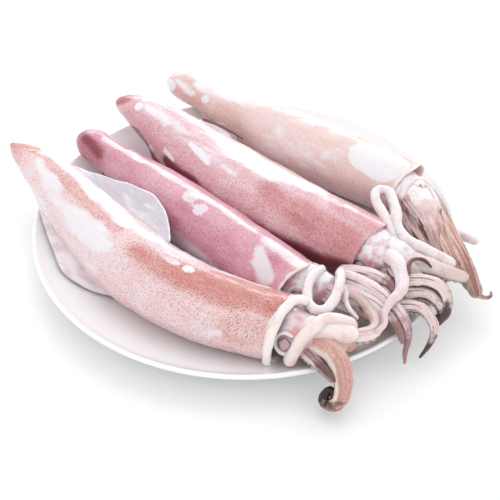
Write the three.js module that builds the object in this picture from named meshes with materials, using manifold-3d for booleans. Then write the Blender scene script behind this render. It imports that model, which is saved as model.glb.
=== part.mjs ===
// Four whole raw squid lying side by side on a round white plate, their arms hanging over its edge.
// Millimetres, +Z up. +X runs from the squids' tips to their arms, and +Y to the squid at the back.
// The origin is on the table, under the middle of the plate.

import * as THREE from "three";
import { mergeVertices } from "three/addons/utils/BufferGeometryUtils.js";
import Module from "manifold-3d";

const wasm = await Module();
wasm.setup();

// The plate.
const PLATE_RADIUS = 130;
const PLATE_HEIGHT = 21;
const PLATE_WALL = 4.5;
const LIP_RADIUS = 1.8;
const WELL_RADIUS = 82;
const WELL_FLOOR = 7;
const RISE_POWER = 1.6;
const FOOT_RADIUS = 74;
const FOOT_WIDTH = 5;
const FOOT_RECESS = 2;
const FOOT_CHAMFER = 1;
const PLATE_SIDES = 48;
const RISE_STEPS = 5;
const LIP_STEPS = 4;

// What lies against another thing keeps this gap to it.
const GAP = 0.4;

// The mantle: where along it is widest, and how much it narrows from there to its opening.
const WIDEST = 0.62;
const OPENING_TAPER = 0.13;
const OPENING_DEPTH = 9;
const MANTLE_WALL = 3.4;
const TIP_CROWDING = 1.3;
const TIP_ROUNDING = 0.55;
const TIP_ROUNDED_SHARE = 0.04;
const MANTLE_STEPS = 14;
const MANTLE_SIDES = 15;

// The fins: their root lies inside the mantle, at this part of their reach, and the edge is thinner.
// Where one lies on the plate it bridges the slope towards the rim.
const FIN_THICKNESS = 2;
const FIN_EDGE_THICKNESS = 1.2;
const FIN_ROOT = 0.2;
const FIN_LEAST_REACH = 4;
const FIN_SETTLED = 0.4;
const FIN_BRIDGE = 9;
const FIN_WAVES = 2;
const FIN_DROOP = 1.5;
const FIN_FRONT_ROUNDING = 1.3;
const FIN_BACK_NARROWING = 0.5;
const FIN_STEPS = 9;

// The head: its neck is this part of its width, and its cheeks bulge before its crown.
const NECK = 0.74;
const CHEEKS = 1.15;
const HEAD_STEPS = 6;
const HEAD_SIDES = 11;
const HEAD_FLATNESS = 0.92;
const EYE_RADIUS = 6;
const EYE_SPACING = 0.76;
const EYE_SIDES = 9;
const EYE_ROWS = 6;

// The arms and tentacles.
const LIMB_STEPS = 11;
const LIMB_SIDES = 5;
const FAN_STEPS = 6;
const FAN_ROOT_DEPTH = 8;
const FAN_FLATNESS = 0.35;
const FAN_BOW = 2;

const UP = new THREE.Vector3(0, 0, 1);
const point = ([x, y, z]) => new THREE.Vector3(x, y, z);
const curveThrough = (points) => new THREE.CatmullRomCurve3(points.map(point), false, "centripetal");

// Height of the plate's upper face at a distance from its middle.
function dishHeight(radius) {
  const slope = THREE.MathUtils.clamp((radius - WELL_RADIUS) / (PLATE_RADIUS - WELL_RADIUS), 0, 1);
  return WELL_FLOOR + (PLATE_HEIGHT - WELL_FLOOR) * slope ** RISE_POWER;
}

// A closed geometry as a solid, turned right side out where its faces point inwards.
function solid(geometry) {
  geometry.deleteAttribute("normal");
  geometry.deleteAttribute("uv");
  const merged = mergeVertices(geometry, 1e-4);
  const vertProperties = merged.attributes.position.array;
  const triVerts = new Uint32Array(merged.index.array);
  const made = new wasm.Manifold(new wasm.Mesh({ numProp: 3, vertProperties, triVerts }));
  return made.volume() < 0
    ? new wasm.Manifold(new wasm.Mesh({ numProp: 3, vertProperties, triVerts: triVerts.reverse() }))
    : made;
}

// Moves each vertex of a geometry to where place puts it.
function bend(geometry, place) {
  const position = geometry.getAttribute("position");
  for (let i = 0; i < position.count; i++) {
    const moved = place(position.getX(i), position.getY(i), position.getZ(i));
    position.setXYZ(i, moved.x, moved.y, moved.z);
  }
  return geometry;
}

// The directions along, across and over a curve at a share of its length, with no twist about it.
function frameAt(curve, share) {
  const along = curve.getTangentAt(share);
  const across = new THREE.Vector3().crossVectors(UP, along).normalize();
  const over = new THREE.Vector3().crossVectors(along, across);
  return { at: curve.getPointAt(share), along, across, over };
}

// A body lofted along a curve. Each station is a ring of it, with its share of the curve, half width and height.
function loft(curve, sides, stations) {
  const rows = stations.length - 1;
  const geometry = new THREE.CylinderGeometry(1, 1, 1, sides, rows);
  return bend(geometry, (x, y, z) => {
    const { share, wide, high } = stations[Math.round((0.5 - y) * rows)];
    const { at, across, over } = frameAt(curve, share);
    return at.clone().addScaledVector(across, z * wide).addScaledVector(over, x * high);
  });
}

// A limb: a tapering tube whose frames turn as little as they can along its route.
function limb({ route, root, tip, taper = 1.6, steps = LIMB_STEPS }, grow) {
  const curve = curveThrough(route);
  const frames = curve.computeFrenetFrames(steps, false);
  const geometry = new THREE.CylinderGeometry(1, 1, 1, LIMB_SIDES, steps);
  return solid(
    bend(geometry, (x, y, z) => {
      const row = Math.round((0.5 - y) * steps);
      const share = row / steps;
      const radius = THREE.MathUtils.lerp(root, tip, share ** taper) + grow;
      return curve
        .getPointAt(share)
        .addScaledVector(frames.normals[row], z * radius)
        .addScaledVector(frames.binormals[row], x * radius);
    }),
  );
}

// How full the mantle is at a share of its length from the tip. A smaller fill makes a fuller tip.
function fullness(share, fill) {
  if (share < WIDEST) return Math.sin((Math.PI / 2) * (share / WIDEST)) ** fill;
  return 1 - OPENING_TAPER * ((share - WIDEST) / (1 - WIDEST)) ** 2;
}

// The mantle: a pointed tube, full in the middle, whose opening turns in over its thick wall.
// The tip is no thinner than the bluntness, once past its rounded end.
function mantle({ spine, halfWidth, halfHeight, bluntness, fill }, grow) {
  const curve = curveThrough(spine);
  const length = curve.getLength();
  const roundedEnd = (share) =>
    THREE.MathUtils.lerp(TIP_ROUNDING, 1, Math.min(1, share / TIP_ROUNDED_SHARE));
  const stations = [];
  for (let row = 0; row < MANTLE_STEPS; row++) {
    const share = (row / (MANTLE_STEPS - 1)) ** TIP_CROWDING;
    const full = Math.max(fullness(share, fill), bluntness * roundedEnd(share));
    stations.push({ share, wide: halfWidth * full + grow, high: halfHeight * full + grow });
  }
  if (grow === 0) {
    const end = stations[MANTLE_STEPS - 1];
    const inward = (share, wall) => ({ share, wide: end.wide - wall, high: end.high - wall });
    stations.push(inward(1, MANTLE_WALL), inward(1 - OPENING_DEPTH / length, MANTLE_WALL));
  }
  return solid(loft(curve, MANTLE_SIDES, stations));
}

// How far a fin reaches from the spine at a share of its own length, as a part of its greatest reach.
function finReach(share, peak) {
  if (share < peak) return 1 - ((peak - share) / peak) ** FIN_FRONT_ROUNDING;
  return 1 - FIN_BACK_NARROWING * ((share - peak) / (1 - peak)) ** 2;
}

// A fin: a thin wavy sheet from inside the mantle's flank to its edge. It leaves the tip level with the spine
// and then settles on the plate, or at the height of its own edge.
function fin({ spine }, { side, start, end, reach, peak, edge, rootHeight, wave }, grow) {
  const curve = curveThrough(spine);
  const geometry = new THREE.BoxGeometry(1, 1, 1, FIN_STEPS, 3, 1);
  return solid(
    bend(geometry, (x, y, z) => {
      const along = x + 0.5;
      const out = y + 0.5;
      const { at, across } = frameAt(curve, THREE.MathUtils.lerp(start, end, along));
      const widest = Math.max(FIN_LEAST_REACH, reach * finReach(along, peak));
      const away = side * widest * THREE.MathUtils.lerp(FIN_ROOT, 1, out);
      const place = at.clone().addScaledVector(across, away);
      const underneath = dishHeight(Math.hypot(place.x, place.y) + FIN_BRIDGE);
      const onPlate = underneath + FIN_EDGE_THICKNESS / 2 + GAP + wave;
      const settled = THREE.MathUtils.smoothstep(along, 0, FIN_SETTLED);
      const height = THREE.MathUtils.lerp(at.z, edge ?? onPlate, settled);
      const root = at.z + rootHeight * settled;
      const ripple = wave * out ** 2 * Math.sin(along * FIN_WAVES * 2 * Math.PI);
      const thickness = THREE.MathUtils.lerp(FIN_THICKNESS, FIN_EDGE_THICKNESS, out) + 2 * grow;
      place.z = THREE.MathUtils.lerp(root, height, out ** FIN_DROOP) + ripple + side * z * thickness;
      return place;
    }),
  );
}

// The head: a neck, cheeks and a crown on a short axis out of the mantle, with an eye on each cheek.
function head({ neck, crown, headRadius }, grow) {
  const curve = new THREE.LineCurve3(point(neck), point(crown));
  const stations = [];
  for (let row = 0; row <= HEAD_STEPS; row++) {
    const share = row / HEAD_STEPS;
    const bulge = Math.sin(Math.PI * Math.min(1, share * CHEEKS));
    const radius = headRadius * THREE.MathUtils.lerp(NECK, 1, bulge) + grow;
    stations.push({ share, wide: radius, high: radius * HEAD_FLATNESS });
  }
  const skull = solid(loft(curve, HEAD_SIDES, stations));
  const { at, across } = frameAt(curve, 0.5);
  const eyes = [-1, 1].map((side) => {
    const place = at.clone().addScaledVector(across, side * headRadius * EYE_SPACING);
    const ball = new THREE.SphereGeometry(EYE_RADIUS + grow, EYE_SIDES, EYE_ROWS);
    return solid(ball.translate(place.x, place.y, place.z));
  });
  return skull.add(eyes[0]).add(eyes[1]);
}

// Arms that fan out from the crown: each starts on a ring round it and ends on a flat ring round the aim.
function fan({ neck, crown }, { aim, turns, ring, spread, root, tip, sag }) {
  const axis = new THREE.LineCurve3(point(neck), point(crown));
  const { at, along, across, over } = frameAt(axis, 1);
  return turns.map((turn) => {
    const angle = THREE.MathUtils.degToRad(turn);
    const ringed = (middle, width, height) =>
      middle
        .clone()
        .addScaledVector(across, Math.cos(angle) * width)
        .addScaledVector(over, Math.sin(angle) * height);
    const start = ringed(at, ring, ring).addScaledVector(along, -FAN_ROOT_DEPTH);
    const end = ringed(point(aim), spread, spread * FAN_FLATNESS);
    const middle = start.clone().lerp(end, 0.5);
    middle.z += sag;
    middle.addScaledVector(across, FAN_BOW * Math.sin(angle * 3));
    return { route: [start, middle, end].map((p) => p.toArray()), root, tip, steps: FAN_STEPS };
  });
}

// One squid, with every limb, as one solid. Grown by the gap, it is what its neighbours keep clear of.
function squid(body, grow = 0) {
  const limbs = [...body.limbs, ...body.fans.flatMap((each) => fan(body, each))];
  const pieces = [
    mantle(body, grow),
    ...body.fins.map((each) => fin(body, each, grow)),
    head(body, grow),
    ...limbs.map((each) => limb(each, grow)),
  ];
  return pieces.reduce((whole, piece) => whole.add(piece));
}

// The squid at the front lies bent along the plate's edge. Its fins are spread, and a thick arm is over the rim.
const front = {
  spine: [
    [-147, -62, 37],
    [-118, -64, 37],
    [-60, -71, 28],
    [0, -77, 26],
    [45, -70, 26],
    [84, -56, 27],
  ],
  halfWidth: 25,
  halfHeight: 19,
  bluntness: 0.14,
  fill: 0.58,
  neck: [74, -60, 27],
  crown: [106, -48, 28],
  headRadius: 14.5,
  fins: [
    { side: -1, start: 0.05, end: 0.56, reach: 37, peak: 0.7, rootHeight: 0, wave: 0.8 },
    { side: 1, start: 0.05, end: 0.62, reach: 36, peak: 0.68, edge: 41, rootHeight: 8, wave: 1 },
  ],
  limbs: [
    {
      route: [[98, -50, 29], [106, -45, 31], [116, -38, 30]],
      root: 8.2,
      tip: 5.2,
      steps: 4,
    },
    {
      route: [[102, -53, 28], [112, -53, 29], [121, -54, 28], [129, -58, 22], [132, -62, 15],
        [131, -66, 10], [126, -68, 9], [124, -66, 12], [126, -63, 14]],
      root: 7,
      tip: 1.6,
      taper: 2.3,
    },
    {
      route: [[102, -66, 22], [99, -62, 32], [104, -51, 38], [108, -43, 36], [116, -35, 33]],
      root: 4,
      tip: 5,
      taper: 1,
    },
    {
      route: [[97, -58, 24], [107, -59, 25], [117, -60, 25], [125, -61, 24]],
      root: 4.6,
      tip: 2.4,
      steps: 6,
    },
    {
      route: [[108, -39, 28], [115, -35, 28], [120, -29, 28], [121, -22, 28], [117, -17, 29],
        [110, -15, 31], [103, -14, 33], [95, -17, 36]],
      root: 4.2,
      tip: 2,
      taper: 1.8,
    },
    {
      route: [[105, -45, 26], [113, -44, 26], [118, -40, 27]],
      root: 4.6,
      tip: 4.2,
      steps: 4,
    },
    {
      route: [[92, -56, 20], [96, -60, 14], [94, -63, 11]],
      root: 2.8,
      tip: 1.8,
      steps: 5,
    },
  ],
  fans: [
    {
      aim: [116, -42, 26],
      turns: [0, 60, 120, 300],
      ring: 6,
      spread: 7,
      root: 4.4,
      tip: 2.6,
      sag: 0,
    },
  ],
};

// The second squid, slimmer and darker, whose tentacle is looped round its arms.
const second = {
  spine: [
    [-127, -20, 31],
    [-104, -20, 29],
    [-60, -22, 27],
    [-10, -25, 26],
    [30, -26, 26],
    [66, -26, 27],
  ],
  halfWidth: 21,
  halfHeight: 18,
  bluntness: 0.46,
  fill: 0.66,
  neck: [56, -26, 27],
  crown: [84, -17, 29],
  headRadius: 13.5,
  fins: [
    { side: -1, start: 0.04, end: 0.5, reach: 22, peak: 0.6, edge: 12, rootHeight: -6, wave: 0.6 },
    { side: 1, start: 0.04, end: 0.5, reach: 22, peak: 0.6, edge: 12, rootHeight: -6, wave: 0.6 },
  ],
  limbs: [
    {
      route: [[74, -14, 38], [77, -26, 41], [82, -35, 40], [91, -42, 39], [98, -40, 39],
        [98, -33, 40], [93, -21, 41], [84, -9, 38]],
      root: 3,
      tip: 3.1,
    },
    {
      route: [[84, -8, 34], [99, -5, 35], [114, -4, 33], [129, -7, 30], [134, -9, 24],
        [136, -13, 15], [137, -14, 7]],
      root: 5,
      tip: 1,
      taper: 1.5,
    },
    {
      route: [[86, -13, 31], [103, -11, 32], [116, -10, 31], [128, -12, 28], [134, -14, 21]],
      root: 4.6,
      tip: 1.6,
      steps: 8,
    },
    {
      route: [[80, -4, 32], [91, 4, 33], [106, 7, 33], [115, 4, 32]],
      root: 4.8,
      tip: 2.6,
      steps: 6,
    },
    {
      route: [[88, -14, 36], [95, -18, 37], [99, -22, 35], [104, -25, 34], [110, -25, 31]],
      root: 2.1,
      tip: 1.2,
      steps: 6,
    },
  ],
  fans: [
    {
      aim: [112, -10, 27],
      turns: [30, 100, 170, 250],
      ring: 5,
      spread: 8,
      root: 4.4,
      tip: 2.2,
      sag: -1,
    },
  ],
};

// The third squid, the fullest one, with a long looped tentacle and thick arms that hook over the rim.
const third = {
  spine: [
    [-137, 18, 36],
    [-114, 21, 36],
    [-60, 21, 27],
    [-10, 19, 27],
    [30, 20, 27],
    [77, 27, 27],
  ],
  halfWidth: 26,
  halfHeight: 21,
  bluntness: 0.12,
  fill: 0.5,
  neck: [66, 25, 27],
  crown: [95, 28, 29],
  headRadius: 17.5,
  fins: [
    { side: -1, start: 0.06, end: 0.55, reach: 25, peak: 0.6, edge: 12, rootHeight: -6, wave: 0.6 },
    { side: 1, start: 0.06, end: 0.46, reach: 27, peak: 0.7, edge: 36, rootHeight: 7, wave: 1 },
  ],
  limbs: [
    {
      route: [[88, 29, 30], [98, 30, 31], [108, 29, 30]],
      root: 12.6,
      tip: 5.8,
      steps: 4,
    },
    {
      route: [[88, 22, 37], [101, 18, 39], [114, 14, 38], [121, 4, 38], [121, -5, 37],
        [122, -14, 36], [126, -21, 34], [125, -26, 32]],
      root: 6.4,
      tip: 1.3,
      taper: 1.2,
    },
    {
      route: [[90, 35, 38], [81, 38, 41], [69, 45, 42], [60, 50, 43], [56, 57, 43], [60, 62, 43],
        [68, 59, 42], [78, 52, 41], [85, 44, 40], [95, 39, 38], [107, 42, 35], [120, 46, 31]],
      root: 3.1,
      tip: 4.4,
      steps: 14,
    },
    {
      route: [[90, 31, 32], [105, 32, 33], [119, 38, 31], [133, 46, 28]],
      root: 6.2,
      tip: 3.6,
      steps: 6,
    },
    {
      route: [[100, 18, 30], [109, 14, 32], [115, 18, 33], [121, 23, 33], [128, 25, 32],
        [134, 24, 28], [137, 20, 22], [136, 15, 18]],
      root: 5.2,
      tip: 3.2,
    },
    {
      route: [[100, 12, 28], [112, 0, 28], [118, 0, 28], [125, 5, 29], [131, 7, 29], [138, 6, 27],
        [142, 4, 22], [142, 0, 14], [140, -4, 6]],
      root: 5.2,
      tip: 0.9,
      taper: 1.7,
    },
    {
      route: [[100, 14, 27], [113, 10, 28], [121, 18, 28], [130, 20, 27], [136, 19, 22],
        [137, 15, 18]],
      root: 4.8,
      tip: 2.6,
      steps: 9,
    },
  ],
  fans: [
    {
      aim: [114, 26, 27],
      turns: [0, 90, 180, 270],
      ring: 7,
      spread: 9,
      root: 5.2,
      tip: 3,
      sag: -1,
    },
  ],
};

// The squid at the back, pale, with its arms together in one bundle that points past the plate's edge.
const back = {
  spine: [
    [-139, 68, 34],
    [-112, 70, 31],
    [-70, 73, 28],
    [-30, 76, 26],
    [10, 81, 27],
    [56, 86, 28],
  ],
  halfWidth: 24,
  halfHeight: 19,
  bluntness: 0.48,
  fill: 0.95,
  neck: [46, 84, 28],
  crown: [78, 77, 29],
  headRadius: 15,
  fins: [
    { side: -1, start: 0.05, end: 0.5, reach: 26, peak: 0.55, edge: 14, rootHeight: -6, wave: 0.6 },
    { side: 1, start: 0.05, end: 0.5, reach: 29, peak: 0.5, edge: 23, rootHeight: 0, wave: 1 },
  ],
  limbs: [
    {
      route: [[70, 96, 27], [64, 88, 38], [63, 77, 40], [66, 68, 37]],
      root: 2.6,
      tip: 2.2,
      steps: 8,
    },
    {
      route: [[72, 77, 31], [84, 71, 31], [96, 62, 31], [108, 52, 29]],
      root: 12.2,
      tip: 6.2,
      steps: 5,
    },
    {
      route: [[79, 80, 32], [96, 70, 34], [109, 62, 33], [122, 55, 31], [132, 49, 28],
        [141, 43, 25]],
      root: 6.2,
      tip: 4.4,
      taper: 1.4,
      steps: 8,
    },
    {
      route: [[81, 73, 33], [99, 61, 34], [114, 52, 32], [126, 47, 28], [135, 45, 24]],
      root: 5.2,
      tip: 2.8,
      taper: 1.4,
      steps: 8,
    },
    {
      route: [[138, 46, 25], [142, 44, 24], [145, 45, 22], [147, 50, 21], [145, 53, 21]],
      root: 1.7,
      tip: 0.7,
      steps: 6,
    },
    {
      route: [[80, 82, 27], [100, 76, 26], [114, 79, 25]],
      root: 3.6,
      tip: 3,
      steps: 6,
    },
  ],
  fans: [
    {
      aim: [120, 48, 28],
      turns: [20, 80, 140, 200, 260, 320],
      ring: 10,
      spread: 6,
      root: 5,
      tip: 2.4,
      sag: 2,
    },
  ],
};

// The plate's outline, from the middle of its upper face round the lip and the foot to the middle below.
function plateOutline() {
  const outline = [new THREE.Vector2(0, WELL_FLOOR)];
  const lipInner = PLATE_RADIUS - 2 * LIP_RADIUS;
  for (let i = 0; i <= RISE_STEPS; i++) {
    const radius = THREE.MathUtils.lerp(WELL_RADIUS, lipInner, i / RISE_STEPS);
    outline.push(new THREE.Vector2(radius, dishHeight(radius)));
  }
  const lip = new THREE.Vector2(PLATE_RADIUS - LIP_RADIUS, PLATE_HEIGHT - LIP_RADIUS);
  const lipStart = 0.6 * Math.PI;
  for (let i = 1; i <= LIP_STEPS; i++) {
    const angle = lipStart - (Math.PI * i) / LIP_STEPS;
    const round = new THREE.Vector2(Math.cos(angle), Math.sin(angle));
    outline.push(lip.clone().addScaledVector(round, LIP_RADIUS));
  }
  const underSteps = 3;
  for (let i = 1; i <= underSteps; i++) {
    const radius = THREE.MathUtils.lerp(PLATE_RADIUS, FOOT_RADIUS + FOOT_WIDTH, i / (underSteps + 1));
    outline.push(new THREE.Vector2(radius, dishHeight(radius) - PLATE_WALL));
  }
  outline.push(
    new THREE.Vector2(FOOT_RADIUS + FOOT_WIDTH, WELL_FLOOR - PLATE_WALL),
    new THREE.Vector2(FOOT_RADIUS + FOOT_WIDTH - FOOT_CHAMFER, 0),
    new THREE.Vector2(FOOT_RADIUS, 0),
    new THREE.Vector2(FOOT_RADIUS - FOOT_CHAMFER, FOOT_RECESS),
    new THREE.Vector2(0, FOOT_RECESS),
  );
  return outline;
}

function plateGeometry() {
  return new THREE.LatheGeometry(plateOutline().reverse(), PLATE_SIDES).rotateX(Math.PI / 2);
}

// All the room below the plate's upper face and its gap: what lies on the plate is trimmed to this.
function plateClearance() {
  const below = -20;
  const rimTop = PLATE_HEIGHT + GAP;
  const rimSide = PLATE_RADIUS + GAP;
  const outline = [
    new THREE.Vector2(0, below),
    new THREE.Vector2(PLATE_RADIUS - 2 * PLATE_WALL, below),
    new THREE.Vector2(rimSide, PLATE_HEIGHT - 2 * LIP_RADIUS),
    new THREE.Vector2(rimSide, rimTop - LIP_RADIUS / 2),
    new THREE.Vector2(rimSide - LIP_RADIUS, rimTop),
    new THREE.Vector2(PLATE_RADIUS - 2 * LIP_RADIUS, rimTop),
  ];
  for (let i = RISE_STEPS - 1; i >= 0; i--) {
    const radius = THREE.MathUtils.lerp(WELL_RADIUS, PLATE_RADIUS - 2 * LIP_RADIUS, i / RISE_STEPS);
    outline.push(new THREE.Vector2(radius, dishHeight(radius) + GAP));
  }
  outline.push(new THREE.Vector2(0, WELL_FLOOR + GAP));
  return solid(new THREE.LatheGeometry(outline, PLATE_SIDES).rotateX(Math.PI / 2));
}

// The largest piece of a solid that trimming may have cut scraps from.
function largest(whole) {
  return whole.decompose().reduce((kept, piece) => (piece.volume() > kept.volume() ? piece : kept));
}

// A solid as a mesh with its name and finish.
function named(name, whole, color, roughness) {
  const { vertProperties, triVerts } = whole.getMesh();
  const geometry = new THREE.BufferGeometry();
  geometry.setAttribute("position", new THREE.BufferAttribute(vertProperties, 3));
  geometry.setIndex(new THREE.BufferAttribute(triVerts, 1));
  geometry.computeVertexNormals();
  const mesh = new THREE.Mesh(geometry, new THREE.MeshStandardMaterial({ color, roughness, metalness: 0 }));
  mesh.name = name;
  return mesh;
}

// Each squid is trimmed by the plate and by those that lie against it or over it.
function squids() {
  const dish = plateClearance();
  const clearFront = squid(front, GAP);
  const clearThird = squid(third, GAP);
  const clearSecond = squid(second, GAP);
  return [
    named("squid_front", largest(squid(front).subtract(dish)), 0xe6b4ab, 0.35),
    named("squid_third", largest(squid(third).subtract(dish).subtract(clearFront)), 0xdf9fa6, 0.35),
    named(
      "squid_second",
      largest(squid(second).subtract(dish).subtract(clearFront).subtract(clearThird)),
      0xd78d9b,
      0.35,
    ),
    named(
      "squid_back",
      largest(squid(back).subtract(dish).subtract(clearThird).subtract(clearSecond)),
      0xeccfc8,
      0.35,
    ),
  ];
}

const plate = new THREE.Mesh(
  plateGeometry(),
  new THREE.MeshStandardMaterial({ color: 0xf1f0f4, roughness: 0.2, metalness: 0 }),
);
plate.name = "plate";

const squidOnPlate = new THREE.Group();
squidOnPlate.add(plate, ...squids());

export default squidOnPlate;
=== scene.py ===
# Four whole raw squid on a round white plate, in metres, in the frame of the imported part.
import math

import bpy
import numpy as np
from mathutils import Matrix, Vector


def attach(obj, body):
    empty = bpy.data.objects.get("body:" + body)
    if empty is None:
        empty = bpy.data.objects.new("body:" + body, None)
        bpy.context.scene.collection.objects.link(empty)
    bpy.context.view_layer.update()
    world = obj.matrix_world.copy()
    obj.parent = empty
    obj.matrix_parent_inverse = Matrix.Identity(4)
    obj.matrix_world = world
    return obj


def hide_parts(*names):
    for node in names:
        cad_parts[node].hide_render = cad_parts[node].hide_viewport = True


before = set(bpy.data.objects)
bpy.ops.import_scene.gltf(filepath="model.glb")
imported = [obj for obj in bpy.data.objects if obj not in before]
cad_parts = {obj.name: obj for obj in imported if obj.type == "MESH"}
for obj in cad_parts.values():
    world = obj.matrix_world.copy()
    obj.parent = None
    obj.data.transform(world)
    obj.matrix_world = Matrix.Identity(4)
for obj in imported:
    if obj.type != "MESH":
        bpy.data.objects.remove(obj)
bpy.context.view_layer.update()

MM = 0.001
UP = Vector((0, 0, 1))

# The plate, in millimetres.
PLATE_RADIUS = 130
PLATE_HEIGHT = 21
WELL_RADIUS = 82
WELL_FLOOR = 7
RISE_POWER = 1.6

# The mantles: the share of the length where they are widest, how far they draw in at the opening, how their
# tips are rounded, and the recess behind the head in millimetres.
WIDEST = 0.62
OPENING_TAPER = 0.13
TIP_ROUNDING = 0.55
TIP_ROUNDED_SHARE = 0.04
RECESS_DEPTH = 9
RECESS_WALL = 7

# The fins: how high they rest over the plate, how they narrow to both ends, and where they settle on it.
FIN_REST = 1.0
FIN_ROOT = 0.2
FIN_LEAST_REACH = 4
FIN_SETTLED = 0.4
FIN_BRIDGE = 4
FIN_FRONT_ROUNDING = 1.1
FIN_BACK_NARROWING = 0.5
FIN_THICKNESS = 1.5

# The heads and the eyes.
NECK = 0.74
CHEEKS = 1.15
HEAD_FLATNESS = 0.92
EYE_SPACING = 0.76
EYE_RING_STEPS = 8

# The sheaves of arms, in millimetres apart from the flatness.
FAN_ROOT_DEPTH = 8
FAN_FLATNESS = 0.35
FAN_BOW = 2

# The arms: the length between two rings in millimetres, and how flat their lower side is, with suckers and
# without.
LIMB_STEP = 3.2
SUCKERED_FLATNESS = 0.72
PLAIN_FLATNESS = 0.9

# The suckers: their size and their distance from the middle as shares of the arm's radius, their spacing as a
# share of their size and at least, in metres, and the shares of the arm where they start and end.
SUCKER_SIZE = 0.3
SUCKER_ASIDE = 0.42
SUCKER_SPACING = 1.25
SUCKER_LEAST_SPACING = 0.0006
SUCKER_START = 0.12
SUCKER_END = 0.97

# The patterns of the skin, in millimetres.
PATCHES = 16
STREAKS = 5
SPECKLES = 1.8
GRAIN = 0.9
FLECKS = 1.15


def linear(colour):
    """The linear colour of an sRGB hex value, with full cover."""
    parts = [int(colour[place:place + 2], 16) / 255 for place in (1, 3, 5)]
    return tuple(p / 12.92 if p <= 0.04045 else ((p + 0.055) / 1.055) ** 2.4 for p in parts) + (1.0,)


def blended(first, second, share):
    """The value that lies at a share of the way from the first to the second."""
    return first + (second - first) * share


def eased(value, low=0.0, high=1.0):
    """A soft step from 0 at low to 1 at high, for one number or many."""
    part = np.clip((value - low) / (high - low), 0, 1)
    return part * part * (3 - 2 * part)


def alone(piece):
    """Leaves only this piece selected and makes it the active one."""
    bpy.ops.object.select_all(action="DESELECT")
    piece.select_set(True)
    bpy.context.view_layer.objects.active = piece


def linked(name, data):
    """A new object with this data, linked into the scene."""
    made = bpy.data.objects.new(name, data)
    bpy.context.collection.objects.link(made)
    return made


def fix(piece, kind, **settings):
    """Adds a modifier with its settings and applies it."""
    modifier = piece.modifiers.new(kind.title(), kind)
    for setting, value in settings.items():
        setattr(modifier, setting, value)
    alone(piece)
    bpy.ops.object.modifier_apply(modifier=modifier.name)


def rounded_off(piece, levels):
    """Subdivides a piece into a smooth skin."""
    fix(piece, "SUBSURF", levels=levels, render_levels=levels)


def stood(piece, turn, place=(0, 0, 0)):
    """Turns and moves a piece for good, so that its object stays unturned at the origin."""
    alone(piece)
    piece.rotation_euler = turn
    piece.location = place
    bpy.ops.object.transform_apply(location=True, rotation=True, scale=False)


def faced_out(piece):
    """Turns all faces of a piece outwards."""
    alone(piece)
    bpy.ops.object.mode_set(mode="EDIT")
    bpy.ops.mesh.select_all(action="SELECT")
    bpy.ops.mesh.normals_make_consistent(inside=False)
    bpy.ops.object.mode_set(mode="OBJECT")


def points_of(piece):
    """The places of a piece's points, a row each."""
    flat = np.empty(len(piece.data.vertices) * 3)
    piece.data.vertices.foreach_get("co", flat)
    return flat.reshape(-1, 3)


def mark(piece, name, *values):
    """Keeps three numbers at each point, which the materials read."""
    marks = piece.data.attributes.new(name, "FLOAT_VECTOR", "POINT")
    values = np.stack(values, axis=1)
    marks.data.foreach_set("vector", np.ascontiguousarray(values, dtype=np.float32).ravel())


def mark_place(piece, length):
    """Marks the share along a straight tube and the side and height round it."""
    points = points_of(piece)
    turn = np.arctan2(points[:, 1], points[:, 2])
    mark(piece, "place", points[:, 0] / length, np.sin(turn), np.cos(turn))


def turned(name, rings, sides, flat_below=None):
    """A closed skin drawn along X through rings of (x, half width in Y, half height in Z), or of (x, radius).
    flat_below flattens the lower side of each ring to that share."""
    bpy.ops.object.select_all(action="DESELECT")
    facing_x = (0, math.pi / 2, 0)
    bpy.ops.mesh.primitive_circle_add(vertices=sides, radius=1, fill_type="NGON", rotation=facing_x)
    piece = bpy.context.object
    piece.name = name
    piece.data.name = name
    bpy.ops.object.transform_apply(location=False, rotation=True, scale=False)
    if flat_below is not None:
        for vertex in piece.data.vertices:
            vertex.co.z = max(vertex.co.z, vertex.co.z * flat_below)
    bpy.ops.object.mode_set(mode="EDIT")
    bpy.ops.mesh.select_all(action="SELECT")
    first = rings[0]
    bpy.ops.transform.resize(value=(1, first[1], first[-1]), center_override=(0, 0, 0))
    bpy.ops.transform.translate(value=(first[0], 0, 0))
    for last, ring in zip(rings, rings[1:]):
        bpy.ops.mesh.extrude_region_move(TRANSFORM_OT_translate={"value": (ring[0] - last[0], 0, 0)})
        growth = (1, ring[1] / last[1], ring[-1] / last[-1])
        bpy.ops.transform.resize(value=growth, center_override=(ring[0], 0, 0))
    bpy.ops.object.mode_set(mode="OBJECT")
    faced_out(piece)
    return piece


def laid_route(points, twist="MINIMUM"):
    """A smooth route through points in millimetres, that a straight piece is bent along."""
    curve = bpy.data.curves.new("route", "CURVE")
    curve.dimensions = "3D"
    curve.twist_mode = twist
    curve.resolution_u = 24
    spline = curve.splines.new("BEZIER")
    spline.bezier_points.add(len(points) - 1)
    for knot, point in zip(spline.bezier_points, points):
        knot.co = Vector(point) * MM
        knot.handle_left_type = "AUTO"
        knot.handle_right_type = "AUTO"
    route = linked("route", curve)
    bpy.context.view_layer.update()
    return route


def length_of(route):
    """The length of a route, in metres."""
    return route.data.splines[0].calc_length()


def bend(piece, route):
    """Bends a straight piece along the route and puts the route away."""
    fix(piece, "CURVE", object=route, deform_axis="POS_X")
    curve = route.data
    bpy.data.objects.remove(route)
    bpy.data.curves.remove(curve)


def unevenness(piece, size, depth, group=""):
    """Raises and sinks the skin by soft clouds, size and depth in millimetres."""
    texture = bpy.data.textures.new("soft unevenness", "CLOUDS")
    texture.noise_scale = size * MM
    settings = {"texture": texture, "texture_coords": "LOCAL", "strength": depth * MM, "mid_level": 0.5}
    if group:
        settings["vertex_group"] = group
    fix(piece, "DISPLACE", **settings)
    bpy.data.textures.remove(texture)


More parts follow.
